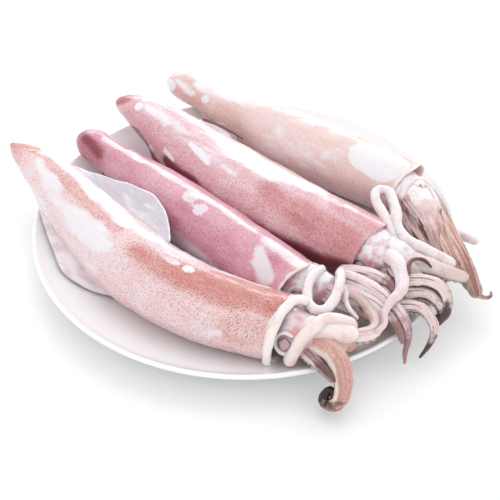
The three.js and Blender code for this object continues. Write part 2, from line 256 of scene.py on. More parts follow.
def stations(route):
    """Gives a function that finds the place and the direction across at a share of a route."""
    evaluated = route.evaluated_get(bpy.context.evaluated_depsgraph_get())
    mesh = evaluated.to_mesh()
    points = [vertex.co.copy() for vertex in mesh.vertices]
    evaluated.to_mesh_clear()
    reached = [0.0]
    for first, second in zip(points, points[1:]):
        reached.append(reached[-1] + (second - first).length)

    def station(share):
        wanted = share * reached[-1]
        index = max(step for step in range(len(reached) - 1) if reached[step] <= wanted)
        part = (wanted - reached[index]) / (reached[index + 1] - reached[index])
        along = (points[index + 1] - points[index]).normalized()
        return points[index].lerp(points[index + 1], min(part, 1)), UP.cross(along).normalized()

    return station


def laid_in(piece, owner, material=None):
    """Gives a finished piece smooth shading and a material if one is given, hangs it on the root body and
    hides its CAD node's part.
    """
    if material:
        piece.data.materials.clear()
        piece.data.materials.append(material)
    alone(piece)
    bpy.ops.object.shade_smooth()
    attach(piece, "root")
    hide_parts(owner["node"])


# Materials. A range takes its value at socket 0, the ends that it reads at 1 and 2 and the ends that it gives
# at 3 and 4. A mix of colours takes its share at 0 and the colours at 6 and 7, and gives the mix at 2.
SCALE_AND_ADD = {"operation": "MULTIPLY_ADD"}
SMOOTH = {"interpolation_type": "SMOOTHSTEP"}
RGB_MIX = {"output": 2, "data_type": "RGBA"}


def new_material(name):
    """A material, what adds its nodes and feeds its shader, and the coordinates that its patterns read."""
    material = bpy.data.materials.new(name)
    material.use_nodes = True
    tree = material.node_tree

    def feed(sockets, inputs):
        """Gives each socket its value, or links it to its output."""
        for socket, value in inputs.items():
            if isinstance(value, bpy.types.NodeSocket):
                tree.links.new(value, sockets[socket])
            else:
                sockets[socket].default_value = value

    def add(kind, inputs, output=0, **settings):
        """Adds a node with its settings and links, and gives one output."""
        made = tree.nodes.new("ShaderNode" + kind)
        for setting, value in settings.items():
            setattr(made, setting, value)
        feed(made.inputs, inputs)
        return made.outputs[output]

    def give(inputs):
        """Feeds the shader."""
        feed(tree.nodes["Principled BSDF"].inputs, inputs)

    where = add("TexCoord", {}, "Object")
    place = add("Attribute", {}, "Vector", attribute_name="place")
    place = add("SeparateXYZ", {0: place}).node.outputs
    return material, add, give, where, place


def per(size):
    """The scale of a pattern whose features are this many millimetres."""
    return 1000 / size


def wet_shader(give, flesh_depth, gloss, film):
    """Sets the light that goes into wet flesh and the film of water that lies on it."""
    give({"Subsurface Weight": flesh_depth, "Subsurface Radius": (1.0, 0.5, 0.4), "Subsurface Scale": 0.004})
    give({"IOR": 1.38, "Roughness": gloss, "Coat Weight": film, "Coat Roughness": 0.09, "Coat IOR": 1.35})


def lay_colours(add, give, base, layers):
    """Lays colours over the base, each by its share, and gives the result to the shader."""
    colour = linear(base)
    for share, over in layers:
        over = linear(over) if isinstance(over, str) else over
        colour = add("Mix", {0: share, 6: colour, 7: over}, **RGB_MIX)
    give({"Base Color": colour})


def drawn_out(add, where, size, detail, stretch):
    """Noise of a size in millimetres that is stretched along the axes with a small scale."""
    drawn = add("Mapping", {"Vector": where, "Scale": stretch})
    return add("TexNoise", {"Vector": drawn, "Scale": per(size), "Detail": detail})


def creases(add, give, where, size, depth, strength, detail=3, stretch=(1, 1, 1)):
    """Gives the skin small creases, of a size and a depth in millimetres."""
    height = drawn_out(add, where, size, detail, stretch)
    give({"Normal": add("Bump", {"Height": height, "Distance": depth * MM, "Strength": strength})})


def painted_share(add, painted, ragged, low, high, full=1.0):
    """How far a painted mark shows where noise breaks its edge. A mark of the full value shows wholly."""
    shown = add("Math", {0: painted, 1: ragged}, operation="ADD")
    shown = add("MapRange", {0: shown, 1: low, 2: high}, **SMOOTH)
    reach = add("MapRange", {0: painted, 1: 0.0, 2: full})
    return add("Math", {0: shown, 1: reach}, operation="MULTIPLY")


def dots(add, where, spacing, core, edge, strength, amount):
    """Dots of pigment, a spacing in millimetres apart, full at their core and gone at their edge, with the
    colour that tells them apart."""
    cells = {"Vector": where, "Scale": per(spacing), "Randomness": 1.0}
    cells = add("TexVoronoi", cells).node.outputs
    dot = add("MapRange", {0: cells["Distance"], 1: core, 2: edge, 3: strength, 4: 0.0})
    return add("Math", {0: dot, 1: amount}, operation="MULTIPLY"), cells["Color"]


def line_at(add, value, middle, full, gone, strength):
    """A line where a value has its middle, full and gone at these differences from it."""
    beside = add("Math", {0: value, 1: middle}, operation="SUBTRACT")
    beside = add("Math", {0: beside}, operation="ABSOLUTE")
    return add("MapRange", {0: beside, 1: full, 2: gone, 3: strength, 4: 0.0})


def mantle_skin(name, base, warm, red, deep_and_shade, fleck, pale_and_highlight, fleck_share):
    """Wet squid skin: a mottled base, a redder back, dark flecks of pigment, and pale places that are mostly
    painted highlights. The painted marks give the red places, the pale places and their painted highlights,
    and the deep places with some painted shade, and clouds break up their edges."""
    material, add, give, where, place = new_material(name)
    tint = add("Attribute", {}, "Vector", attribute_name="tint")
    red_mark, pale_and_highlight_mark, deep_and_shade_mark = add("SeparateXYZ", {0: tint}).node.outputs
    patches = add("TexNoise", {"Vector": where, "Scale": per(PATCHES), "Detail": 3})
    warmth = add("MapRange", {0: patches, 1: 0.35, 2: 0.65}, **SMOOTH)
    streaks = drawn_out(add, where, STREAKS, 4, (0.3, 1, 1))
    # Speckles, where the skin is thinner and paler.
    speckles = add("TexNoise", {"Vector": where, "Scale": per(SPECKLES), "Detail": 5})
    thinned = add("MapRange", {0: speckles, 1: 0.46, 2: 0.75, 4: 0.5})
    # The red places, and the deep places with some painted shade.
    rough = add("Math", {0: speckles, 1: 0.7, 2: -0.8}, **SCALE_AND_ADD)
    ragged = add("Math", {0: streaks, 1: 0.9, 2: rough}, **SCALE_AND_ADD)
    reddened = painted_share(add, red_mark, ragged, 0.05, 1.0)
    deepened_and_shaded = painted_share(add, deep_and_shade_mark, ragged, 0.1, 0.9)
    # A grain of pigment over all, and flecks, stronger where the skin is red and unlike one another.
    grain = add("TexNoise", {"Vector": where, "Scale": per(GRAIN), "Detail": 1})
    grainy = add("MapRange", {0: grain, 1: 0.42, 2: 0.66, 4: 0.3})
    amount = add("Math", {0: red_mark, 1: 0.7, 2: fleck_share}, **SCALE_AND_ADD)
    flecks, cell = dots(add, where, FLECKS, 0.22, 0.44, 1.0, amount)
    chance = add("SeparateColor", {0: cell})
    chance = add("MapRange", {0: chance, 3: 0.35})
    flecks = add("Math", {0: flecks, 1: chance}, operation="MULTIPLY", use_clamp=True)
    # The pale places and painted highlights fade out through streaks and speckles, and turn cream where the
    # skin ends.
    torn = add("Math", {0: streaks, 1: 1.5, 2: -1.0}, **SCALE_AND_ADD)
    torn = add("Math", {0: speckles, 1: 0.5, 2: torn}, **SCALE_AND_ADD)
    bare = painted_share(add, pale_and_highlight_mark, torn, 0.18, 0.88, 0.3)
    at_rim = add("MapRange", {0: place[0], 1: 0.955, 2: 0.975})
    flesh = add("Mix", {0: at_rim, 6: linear(pale_and_highlight), 7: linear("#EFE3E0")}, **RGB_MIX)
    lay_colours(add, give, base, [(warmth, warm), (thinned, pale_and_highlight), (reddened, red), (grainy, red),
                                  (flecks, fleck), (deepened_and_shaded, deep_and_shade), (bare, flesh)])
    wet_shader(give, 0.2, 0.3, 0.5)
    give({"Roughness": add("MapRange", {0: streaks, 1: 0.3, 2: 0.7, 3: 0.22, 4: 0.42})})
    creases(add, give, where, 3.5, 0.6, 0.35)
    return material


def fin_skin(name, root, web, edge, edge_start=0.94):
    """A thin wet fin: tinted at its root, half clear over the web, with veins and a line at its edge."""
    material, add, give, where, place = new_material(name)
    clouds = add("TexNoise", {"Vector": where, "Scale": per(12), "Detail": 4})
    out = add("Math", {0: clouds, 1: 0.5, 2: place[1]}, **SCALE_AND_ADD)
    webbed = add("MapRange", {0: out, 1: 0.27, 2: 0.7}, **SMOOTH)
    veins = drawn_out(add, where, STREAKS, 5, (0.35, 1, 1))
    veins = add("MapRange", {0: veins, 1: 0.5, 2: 0.68, 4: 0.6})
    rim = add("MapRange", {0: place[1], 1: edge_start, 2: edge_start + 0.05, 4: 0.7}, **SMOOTH)
    lay_colours(add, give, root, [(webbed, web), (veins, edge), (rim, edge)])
    wet_shader(give, 0.35, 0.28, 0.8)
    give({"Subsurface Scale": 0.002})
    creases(add, give, where, 9, 4, 0.6, 4, (0.5, 1.2, 1))
    return material


def arm_skin(name, back, side, oral_and_shade, tip, line, streaked, tip_share, tip_start=0.55, speckled=0.35):
    """A wet arm: mottled skin down its back, pale flesh at its sides, dark lines and streaks along it, and a
    darker side with the suckers, its colour partly darkened as painted shade beneath the arm."""
    material, add, give, where, place = new_material(name)
    clouds = add("TexNoise", {"Vector": where, "Scale": per(5), "Detail": 4})
    ragged = add("Math", {0: clouds, 1: 1.3, 2: -0.65}, **SCALE_AND_ADD)
    height = add("Math", {0: place[2], 1: ragged}, operation="ADD")
    skinned = add("MapRange", {0: height, 1: 0.28, 2: 0.85}, **SMOOTH)
    # Long streaks along the arm, pale and dark.
    stretched = add("Attribute", {}, "Vector", attribute_name="place")
    stretched = add("Mapping", {"Vector": stretched, "Scale": (0.8, 2.8, 2.8)})
    apart = {0: where, 1: (14, 14, 14), 2: stretched}
    apart = add("VectorMath", apart, **SCALE_AND_ADD)
    fibres = add("TexNoise", {"Vector": apart, "Scale": 1.0, "Detail": 4})
    pale = add("MapRange", {0: fibres, 1: 0.48, 2: 0.36, 4: min(0.7, streaked)})
    dark = add("MapRange", {0: fibres, 1: 0.52, 2: 0.6, 4: streaked})
    # Fine pigment over the back, the side of the suckers in its colour and painted shade with a dark line
    # along its edge, and the tip.
    pigment, cell = dots(add, where, 1.1, 0.1, 0.4, speckled, skinned)
    under = add("MapRange", {0: height, 1: -0.3, 2: -0.7}, **SMOOTH)
    edge = line_at(add, height, -0.28, 0.08, 0.32, 0.9)
    ending = add("Math", {0: ragged, 1: 0.35, 2: place[0]}, **SCALE_AND_ADD)
    tip_end = blended(tip_start, 1, 0.4)
    ending = add("MapRange", {0: ending, 1: tip_start, 2: tip_end, 4: tip_share})
    lay_colours(add, give, side, [(skinned, back), (pale, side), (dark, line), (pigment, line),
                                  (under, oral_and_shade), (edge, line), (ending, tip)])
    wet_shader(give, 0.3, 0.28, 0.7)
    creases(add, give, where, 2.2, 1, 0.5)
    return material


def plain_flesh(name, pale, tinted, gloss=0.25, root=None):
    """Bare wet flesh, pale with soft tinted clouds, which grow stronger underneath and to one side as painted
    shade, and darker at a root, partly painted shade.
    """
    material, add, give, where, place = new_material(name)
    clouds = add("TexNoise", {"Vector": where, "Scale": per(7), "Detail": 4})
    # Painted shade: the tinted clouds grow stronger underneath and to one side.
    under = add("Math", {0: place[2], 1: -0.14, 2: clouds}, **SCALE_AND_ADD)
    under = add("Math", {0: place[1], 1: -0.09, 2: under}, **SCALE_AND_ADD)
    clouded = add("MapRange", {0: under, 1: 0.37, 2: 0.6}, **SMOOTH)
    pigment, cell = dots(add, where, 2, 0.1, 0.26, 0.4, clouded)
    layers = [(clouded, tinted), (pigment, "#B0605C")]
    if root:
        # A darker root, partly painted shade where a head goes into its mantle.
        shaded = add("Math", {0: clouds, 1: 0.5, 2: place[0]}, **SCALE_AND_ADD)
        shaded = add("MapRange", {0: shaded, 1: 0.75, 2: 0.5}, **SMOOTH)
        layers.append((shaded, root))
    lay_colours(add, give, pale, layers)
    wet_shader(give, 0.4, gloss, 0.8)
    creases(add, give, where, 3, 1, 0.5)
    return material


def eye_skin():
    """A glassy clouded eye: lilac grey, with a dark ring round its lens."""
    material, add, give, where, place = new_material("glassy clouded eye")
    clouds = add("TexNoise", {"Vector": where, "Scale": per(3), "Detail": 2})
    out = add("Math", {0: clouds, 1: 0.3, 2: place[0]}, **SCALE_AND_ADD)
    ring = line_at(add, out, 0.53, 0.04, 0.12, 0.75)
    lay_colours(add, give, "#BC9CA5", [(ring, "#6A434D")])
    wet_shader(give, 0.2, 0.12, 1.0)
    return material


def sucker_flesh():
    """Suckers: pale rims round a dark cup."""
    material, add, give, where, place = new_material("sucker rims and cups")
    lay_colours(add, give, "#E8D6CE", [(place[0], "#4A2C2A")])
    wet_shader(give, 0.2, 0.3, 0.6)
    return material


def porcelain():
    """White glazed porcelain: a clear hard gloss over a faintly cool white body."""
    material, add, give, where, place = new_material("white glazed porcelain")
    waves = add("TexNoise", {"Vector": where, "Scale": per(60), "Detail": 2})
    lay_colours(add, give, "#F6F7FA", [(waves, "#FAFBFC")])
    give({"Roughness": 0.14, "IOR": 1.5, "Coat Weight": 0.5, "Coat Roughness": 0.04})
    give({"Normal": add("Bump", {"Height": waves, "Distance": 0.001, "Strength": 0.15})})
    return material


# The plate: drawn as rings from under its middle, out over the foot and the wall, over the lip and in again.


def dish(radius):
    """The height of the plate's upper face at a radius, in millimetres."""
    rise = min(max((radius - WELL_RADIUS) / (PLATE_RADIUS - WELL_RADIUS), 0), 1)
    return WELL_FLOOR + (PLATE_HEIGHT - WELL_FLOOR) * rise ** RISE_POWER


def plate_piece():
    """The round plate, turned about X and then stood up."""
    under = [(2, 20), (2, 70), (1.8, 73), (0.5, 74), (0, 74.8), (0, 78.2), (0.5, 79), (2.5, 79.6), (3.4, 84)]
    wall = [(dish(radius) - 4.5, radius) for radius in (92, 100, 108, 116, 122)]
    lip = [(16.6, 127.4), (18.4, 129.4), (19.6, 129.9), (20.6, 129.2), (20.9, 128.2), (20.5, 127.2)]
    face = [(dish(radius) - 0.1, radius) for radius in (124, 118, 112, 106, 100, 94, 88, 84, 80, 70, 45, 15)]
    rings = [(height * MM, radius * MM) for height, radius in under + wall + lip + face]
    piece = turned("porcelain_plate", rings, 48)
    rounded_off(piece, 2)
    stood(piece, (0, -math.pi / 2, 0))
    mark(piece, "place", *points_of(piece).T)
    laid_in(piece, {"node": "plate", "slot": "porcelain"}, porcelain())


# The squid.


def fullness(share, squid):
    """How full the mantle is at a share of its length from the tip."""
    if share < WIDEST:
        full = math.sin(math.pi / 2 * max(share, 0) / WIDEST) ** squid["fill"]
    else:
        full = 1 - OPENING_TAPER * ((share - WIDEST) / (1 - WIDEST)) ** 2
    blunt = squid["bluntness"] * blended(TIP_ROUNDING, 1, min(1, share / TIP_ROUNDED_SHARE))
    return max(full, blunt)


def paint(piece, length, squid):
    """Marks a mantle's red places, its pale places with their painted highlights, and its deep places with
    some painted shade.
    A stroke is (strength, soft edge in mm, stops), a stop (share, turn in degrees, half width in mm)."""
    points = points_of(piece)
    along = points[:, 0] / MM
    radius = np.hypot(points[:, 1], points[:, 2]) / MM
    turn = np.arctan2(points[:, 1], points[:, 2])
    wobble = 0.6 * np.sin(along / 4.7 + turn * 2)
    tints = {}
    for tint in ("red", "pale_and_highlight", "deep_and_shade"):
        tints[tint] = np.zeros(len(points))
        for strength, soft, stops in squid[tint]:
            for first, second in zip(stops, stops[1:] + stops[-1:]):
                start = (along - first[0] * length / MM, (turn - math.radians(first[1])) * radius)
                step = ((second[0] - first[0]) * length / MM, math.radians(second[1] - first[1]) * radius)
                run = np.maximum(step[0] ** 2 + step[1] ** 2, 1e-9)
                part = np.clip((start[0] * step[0] + start[1] * step[1]) / run, 0, 1)
                gap = np.hypot(start[0] - step[0] * part, start[1] - step[1] * part)
                gap = gap - blended(first[2], second[2], part) + wobble
                tints[tint] = np.maximum(tints[tint], strength * eased(1 - gap / soft))
    rim = eased(along / length * MM, squid["rim"] - 0.004, squid["rim"] + 0.004)
    inside = (along > 0.9 * length / MM) & (radius < 0.8 * squid["half_height"])
    pale_and_highlight = np.maximum(tints["pale_and_highlight"], np.maximum(rim, inside))
    mark(piece, "tint", tints["red"] * (1 - inside), pale_and_highlight, tints["deep_and_shade"])


def shape_opening(piece, length, squid):
    """Lets the rim of the opening run unevenly forwards and outwards round the neck."""
    points = points_of(piece)
    turn = np.arctan2(points[:, 1], points[:, 2])
    near_end = eased(points[:, 0] / length, 0.86, 1.0)
    for count, start, forward, outward in squid["rim_waves"]:
        wave = near_end * np.cos(count * turn - math.radians(start))
        points[:, 0] += forward * MM * wave
        points[:, 1:] *= (1 + outward * wave)[:, None]
    piece.data.vertices.foreach_set("co", points.ravel())


def mantle_piece(squid):
    """The mantle: a pointed tube with a thick rolled rim and a recess behind the head."""
    route = laid_route(squid["spine"], "Z_UP")
    length = length_of(route)
    wide = squid["half_width"] * MM
    high = squid["half_height"] * MM
    rings = []
    for share in (0, 0.012, 0.025, 0.045, 0.07, 0.1, 0.14, 0.19, 0.25, 0.32, 0.4, 0.48, 0.56, 0.64, 0.72, 0.8,
                  0.87, 0.92, 0.955, 0.975):
        full = fullness(share, squid)
        rings.append((share * length, full * wide, full * high))
    first = rings[0]
    rings.insert(0, (-0.35 * first[2], first[1] * 0.55, first[2] * 0.55))
    end = fullness(1, squid)
    swelling = -squid["rim_swelling"]
    # Over the rim and into the recess: how far each ring lies behind the end and inwards.
    wall = squid["wall"]
    lip = [(3, swelling), (0.8, swelling * 1.3), (-0.6, 0), (-0.4, 0.55 * wall), (1, 0.9 * wall), (4, wall),
           (8, 1.05 * wall), (RECESS_DEPTH, RECESS_WALL)]
    for behind, inward in lip:
        rings.append((length - behind * MM, end * wide - inward * MM, end * high - inward * MM))
    piece = turned(squid["name"] + "_mantle", rings, 16)
    rounded_off(piece, 3)
    mark_place(piece, length)
    paint(piece, length, squid)
    shape_opening(piece, length, squid)
    bend(piece, route)
    unevenness(piece, 22, 1.6)
    unevenness(piece, 7, 0.5)
    laid_in(piece, squid, squid["skin"])


def fin_piece(squid, side, start, end, reach, peak, edge, root_height, wave, skin):
    """A thin fin from the mantle's side: it comes to rest on the plate or at the height of its edge."""
    route = laid_route(squid["spine"])
    station = stations(route)
    bpy.ops.object.select_all(action="DESELECT")
    bpy.ops.mesh.primitive_grid_add(x_subdivisions=36, y_subdivisions=10, size=1)
    piece = bpy.context.object
    piece.name = squid["name"] + ("_far_fin" if side > 0 else "_near_fin")
    piece.data.name = piece.name
    points = points_of(piece)
    mark(piece, "place", points[:, 0] + 0.5, points[:, 1] + 0.5, points[:, 0] * 0)
    for vertex in piece.data.vertices:
        along = vertex.co.x + 0.5
        out = vertex.co.y + 0.5
        at, across = station(blended(start, end, along))
        if along < peak:
            share = 1 - ((peak - along) / peak) ** FIN_FRONT_ROUNDING
        else:
            share = 1 - FIN_BACK_NARROWING * ((along - peak) / (1 - peak)) ** 2
        away = side * max(FIN_LEAST_REACH, reach * share) * blended(FIN_ROOT, 1, out) * MM
        place = at + across * away
        ruffle = wave * out * out * math.sin(4 * math.pi * along)
        ruffle += 0.5 * wave * out ** 3 * math.sin(15 * math.pi * along + side)
        settled = eased(along, 0, FIN_SETTLED)
        resting = dish(place.xy.length / MM + FIN_BRIDGE) + FIN_REST if edge is None else edge
        root = at.z / MM + root_height * settled
        height = blended(at.z / MM, resting, settled)
        place.z = (blended(root, height, out ** 1.5) + ruffle) * MM
        vertex.co = place
    bpy.data.objects.remove(route)
    fix(piece, "SOLIDIFY", thickness=FIN_THICKNESS * MM, offset=0)
    faced_out(piece)
    rounded_off(piece, 1)
    laid_in(piece, squid, skin)


def head_piece(squid):
    """The head: narrow at the neck, full at the cheeks, rounded at the crown."""
    neck = Vector(squid["neck"])
    crown = Vector(squid["crown"])
    route = laid_route([neck, (neck + crown) / 2, crown])
    length = length_of(route)
    radius = squid["head_radius"] * MM
    rings = [(-0.08 * length, radius * 0.45, radius * 0.42)]
    for share in (0, 0.12, 0.28, 0.44, 0.6, 0.76, 0.9):
        narrow = blended(squid["neck_share"], NECK, share)
        full = radius * blended(narrow, 1, math.sin(math.pi * min(1, CHEEKS * share)))
        rings.append((share * length, full, full * HEAD_FLATNESS))
    rings.append((1.0 * length, radius * 0.66, radius * 0.6))
    rings.append((1.07 * length, radius * 0.35, radius * 0.32))
    piece = turned(squid["name"] + "_head", rings, 14)
    rounded_off(piece, 2)
    mark_place(piece, length)
    bend(piece, route)
    unevenness(piece, 9, 2.2)
    unevenness(piece, 3.5, 0.5)
    laid_in(piece, squid, squid["head_skin"])


def head_directions(squid):
    """The directions along a head to its crown and across it."""
    along = (Vector(squid["crown"]) - Vector(squid["neck"])).normalized()
    return along, UP.cross(along).normalized()


def sucker_pattern():
    """One small sucker: a rim round a sunk cup, open downwards."""
    rings = [(-0.5, 0.6), (0.0, 0.8), (0.5, 1.0), (0.75, 0.8), (0.6, 0.55), (0.1, 0.4)]
    piece = turned("sucker", rings, 7)
    points = points_of(piece)
    sunk = (np.hypot(points[:, 1], points[:, 2]) < 0.6) & (points[:, 0] > 0)
    mark(piece, "place", sunk, sunk, sunk)
    stood(piece, (0, math.pi / 2, 0))
    piece.data.materials.append(sucker_flesh())
    return piece


def limb_piece(squid, name, points, root, tip, skin, taper=1.6, suckers=False):
    """An arm or a tentacle: a tapering tube, flatter on the side of its suckers, bent along its route."""
    route = laid_route(points)
    length = length_of(route)
    steps = max(8, min(26, round(length / MM / LIMB_STEP)))
    flat = SUCKERED_FLATNESS if suckers else PLAIN_FLATNESS

    def radius(share):
        return blended(root, tip, share ** taper) * MM

    rings = [(-0.5 * root * MM, root * 0.6 * MM)]
    rings += [(length * step / steps, radius(step / steps)) for step in range(steps + 1)]
    rings += [(length + 0.55 * tip * MM, tip * 0.75 * MM), (length + 0.85 * tip * MM, tip * 0.3 * MM)]
    piece = turned(squid["name"] + "_" + name, rings, 10, flat)
    rounded_off(piece, 1)
    mark_place(piece, length)
    flesh = piece.vertex_groups.new(name="flesh")
    flesh.add(list(range(len(piece.data.vertices))), 1, "REPLACE")
    piece.data.materials.append(skin)
    if suckers:
        cups = []
        share = SUCKER_START
        turn = 1
        while share < SUCKER_END:
            size = radius(share) * SUCKER_SIZE
            cup = linked("cup", SUCKER.data.copy())
            cup.location = (share * length, turn * radius(share) * SUCKER_ASIDE, -radius(share) * flat * 0.86)
            cup.rotation_euler = (turn * 0.4, 0, 0)
            cup.scale = (size, size, size)
            cups.append(cup)
            share += max(size * SUCKER_SPACING, SUCKER_LEAST_SPACING) / length
            turn = -turn
        alone(piece)
        for cup in cups:
            cup.select_set(True)
        bpy.ops.object.join()
    bend(piece, route)
    unevenness(piece, 6, 1.1, "flesh")
    laid_in(piece, squid)


def fan_pieces(squid, name, aim, turns, ring, spread, root, tip, sag, skin):
    """A sheaf of short arms with suckers from the crown of the head to an aim."""
    crown = Vector(squid["crown"])
    along, across = head_directions(squid)
    over = along.cross(across)
    for number, degrees in enumerate(turns, 1):
        angle = math.radians(degrees)
        aside = across * math.cos(angle)
        raised = over * math.sin(angle)
        start = crown + (aside + raised) * ring - along * FAN_ROOT_DEPTH
        end = Vector(aim) + (aside + raised * FAN_FLATNESS) * spread
        middle = (start + end) / 2 + UP * sag + across * FAN_BOW * math.sin(angle * 3)
        limb_piece(squid, name + "_" + str(number), [start, middle, end], root, tip, skin, suckers=True)


def eye_pieces(squid, side, ball_skin, ring_skin, size=6, lift=0.45):
    """An eye: a low ball in a swollen ring, on the side of the head."""
    along, across = head_directions(squid)
    facing = (across * side + UP * lift).normalized()
    centre = (Vector(squid["neck"]) + Vector(squid["crown"])) / 2 + UP * squid["eye_raise"]
    centre += across * side * squid["head_radius"] * EYE_SPACING + facing * size * 0.35
    name = "far_eye" if side > 0 else "near_eye"
    rings = [(-0.9, 0.4), (-0.6, 0.75), (-0.1, 0.9), (0.25, 0.8), (0.5, 0.5), (0.6, 0.2)]
    rings = [(x * size * MM, radius * size * MM) for x, radius in rings]
    ball = turned(squid["name"] + "_" + name, rings, 12)
    rounded_off(ball, 1)
    mark_place(ball, size * MM)
    stood(ball, facing.to_track_quat("X", "Z").to_euler(), centre * MM)
    laid_in(ball, squid, ball_skin)
    up = along.cross(facing)
    route = []
    for step in range(EYE_RING_STEPS + 1):
        angle = math.radians(-150 + 300 * step / EYE_RING_STEPS) + 2.6
        spot = centre + (along * math.cos(angle) + up * math.sin(angle)) * size * 0.98
        route.append(spot + facing * size * 0.1)
    limb_piece(squid, name + "_ring", route, size * 0.24, size * 0.2, ring_skin)


SUCKER = sucker_pattern()

# Flesh and the skin of heads: the pale colour and that of the clouds, then the gloss and a root's colour,
# which on the pink head is partly painted shade at its neck.
bare_flesh = plain_flesh("bare white tentacle flesh", "#ECE3E5", "#E3CDCC")
cream_flesh = plain_flesh("cream cut flesh", "#F5ECEA", "#EEDDDA")
band_flesh = plain_flesh("peach cream flesh of a band", "#F3E6E4", "#EED6D2")
crown_flesh = plain_flesh("pale pink crown flesh", "#E8D4CE", "#C99A8E")
lilac_head = plain_flesh("wet pink head skin", "#E7D5DB", "#DEA6A8", 0.2, "#A08C9C")
pale_head = plain_flesh("wet white head skin", "#F1ECF0", "#D8A2B0", 0.2)
mauve_eye = eye_skin()
ring_flesh = plain_flesh("swollen pale eye ring", "#F0E2E6", "#E6C6CC")

# The squid, in millimetres: the middle line of the mantle from its tip on, its half width and height, how
# blunt its tip and how full its taper is, the head, the wall and rim of the opening, and the painted places.
# A rim wave is (count round the opening, start in degrees, reach forwards, share outwards).
front = dict(
    name="front", node="squid_front", slot="skin_front",
    spine=[(-147, -62, 37), (-118, -64, 37), (-60, -71, 28), (0, -77, 26), (45, -70, 26), (84, -56, 27)],
    half_width=25, half_height=19, bluntness=0.14, fill=0.58,
    neck=(74, -60, 27), crown=(106, -48, 28), head_radius=14.5, eye_raise=2, neck_share=0.8,
    wall=3.4, rim=0.985, rim_swelling=0.4,
    rim_waves=((1, 10, 1.5, 0.0), (2, 70, 1.4, 0.03), (5, 20, 0.7, 0.015)),
    head_skin=lilac_head,
    # Wet peach pink with fine flecks, a salmon band, and broad painted highlights beside a stripe down its
    # back.
    skin=mantle_skin("flecked peach squid skin", "#EEDCE1", "#EDD0D0", "#CB857B", "#9A5A50", "#A3564C",
                     "#ECE6EB", 0.6),
    red=[
        (0.95, 8, [(0.0, 0, 4), (0.05, 20, 3), (0.1, 20, 2)]),
        (0.6, 9, [(0.0, -60, 5), (0.07, -70, 4)]),
        (0.62, 5, [(0.12, 15, 2), (0.2, 4, 4), (0.32, 4, 5), (0.43, -2, 5), (0.5, 4, 3)]),
        (0.9, 15, [(0.6, -12, 0), (0.7, -10, 3), (0.76, -2, 6), (0.86, 8, 10), (0.97, 20, 10)]),
        (0.3, 12, [(0.65, -20, 6), (0.8, -26, 8), (0.97, -26, 9)]),
        (0.55, 8, [(0.9, -70, 5), (0.97, -60, 6)]),
        (0.5, 6, [(0.4, -100, 4), (0.7, -105, 4), (0.9, -105, 4)]),
        (1.0, 1, [(0.575, -58, 1.2)]),
    ],
    # The pale places, mostly painted highlights: the bands beside the stripe and the big round patch, a
    # painted highlight line along the top edge and a painted sheen along the lower side.
    pale_and_highlight=[
        (0.85, 7, [(0.15, -20, 0), (0.22, -38, 1.5), (0.27, -42, 2), (0.31, -46, 1)]),
        (0.5, 5, [(0.3, -34, 2), (0.4, -26, 1)]),
        (0.42, 14, [(0.14, -70, 3), (0.3, -76, 5), (0.5, -80, 5)]),
        (1.0, 7, [(0.35, -46, 1), (0.4, -44, 3), (0.46, -42, 5), (0.53, -40, 1)]),
        (1.0, 5, [(0.12, 50, 2), (0.2, 46, 3), (0.32, 36, 4), (0.42, 32, 5), (0.5, 27, 3.5)]),
        (0.9, 3, [(0.52, 30, 1.5), (0.6, 38, 1.2), (0.7, 46, 1), (0.8, 52, 1), (0.93, 54, 0.5)]),
        (0.8, 1.5, [(0.74, 12, 2.6)]),
        (0.6, 2, [(0.66, 8, 1.2), (0.7, 10, 1.4)]),
        (0.7, 1.5, [(0.86, -80, 1.8)]),
        (0.7, 1.5, [(0.875, -76, 1.8)]),
    ],
    deep_and_shade=[
        (0.4, 11, [(0.78, 4, 1), (0.88, 10, 4), (0.97, 20, 6)]),
    ],
)
second = dict(
    name="second", node="squid_second", slot="skin_second",
    spine=[(-127, -20, 31), (-104, -20, 29), (-60, -22, 27), (-10, -25, 26), (30, -26, 26), (66, -26, 27)],
    half_width=21, half_height=18, bluntness=0.56, fill=0.66,
    neck=(56, -26, 27), crown=(84, -17, 29), head_radius=13.5, eye_raise=0, neck_share=0.95,
    wall=1.8, rim=0.996, rim_swelling=0.2,
    rim_waves=((1, 0, 2.0, 0.0), (2, 40, 1.2, 0.02), (5, 60, 0.5, 0.01)),
    head_skin=pale_head,
    # Dark rose skin, the darkest of the four, with round pale spots, a painted highlight line along its top
    # and painted light along its underside that lifts the shade there.
    skin=mantle_skin("rose squid skin", "#DCA9B7", "#D698A8", "#B9647B", "#8A404C", "#A24E60", "#E2D7DE",
                     0.45),
    red=[
        (0.7, 9, [(0.02, -70, 6), (0.12, -74, 6)]),
        (0.62, 11, [(0.46, -54, 3), (0.56, -50, 6), (0.68, -60, 6), (0.8, -60, 4)]),
        (0.4, 8, [(0.08, -20, 4), (0.3, -14, 4)]),
        (0.6, 5, [(0.93, -20, 3)]),
    ],
    # The pale places: round pale spots and patches by the opening, a painted highlight line along the top,
    # and painted light along the underside against its shade.
    pale_and_highlight=[
        (0.8, 11, [(0.42, -108, 6), (0.72, -108, 6)]),
        (0.9, 3.5, [(0.1, 8, 0.5), (0.25, 12, 1), (0.45, 16, 0.8), (0.8, 20, 0.6)]),
        (0.85, 1.5, [(0.545, 0, 5)]),
        (0.85, 1.5, [(0.615, -12, 4)]),
        (0.6, 1.2, [(0.57, -16, 1.4)]),
        (0.55, 1, [(0.73, 4, 0.8)]),
        (1.0, 6, [(0.87, -16, 0), (0.9, -36, 1.5), (0.945, -56, 2)]),
        (1.0, 6, [(0.86, 14, 0), (0.92, 12, 1), (0.98, 4, 2)]),
        (0.6, 1.2, [(0.945, -6, 1.5)]),
    ],
    deep_and_shade=[
        (1.0, 8, [(0.04, -36, 0.5), (0.08, -42, 1), (0.13, -56, 0)]),
        (0.5, 9, [(0.02, -80, 5), (0.09, -84, 5)]),
    ],
)
